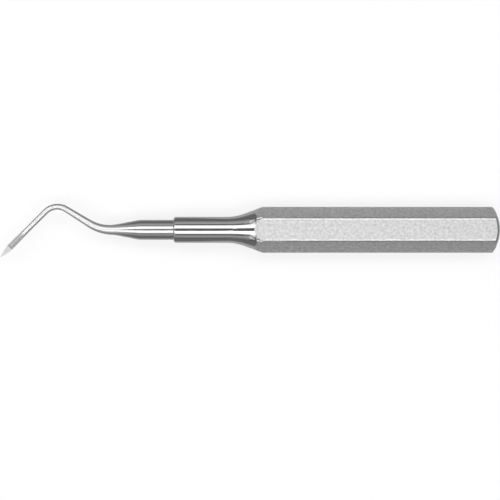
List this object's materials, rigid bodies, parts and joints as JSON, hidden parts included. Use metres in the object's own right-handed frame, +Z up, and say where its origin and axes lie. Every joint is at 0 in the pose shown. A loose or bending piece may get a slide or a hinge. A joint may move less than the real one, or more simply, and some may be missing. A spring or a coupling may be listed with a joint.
{
  "type": "root tip pick",
  "caption": "Single-ended dental pick: satin hexagonal handle, turned neck, and a slim polished shank bent to the side, ground to a lancet point.",
  "frame": {"origin": "middle of the handle's lower flat, half way along the full hexagon", "axes": "+X along the handle to its domed rear end, the point towards -X; +Z up from the surface it lies on; the shank bends towards +Y first"},
  "size_m": [0.1592, 0.017, 0.0127],
  "materials": {
    "handle_steel": "blasted satin flats and dome, polished neck and cone",
    "tip_steel": "mirror polished shaft and shank, satin ground point"
  },
  "bodies": {
    "root": {"hex_handle": "handle_steel", "working_end": "tip_steel"}
  },
  "joints": []
}
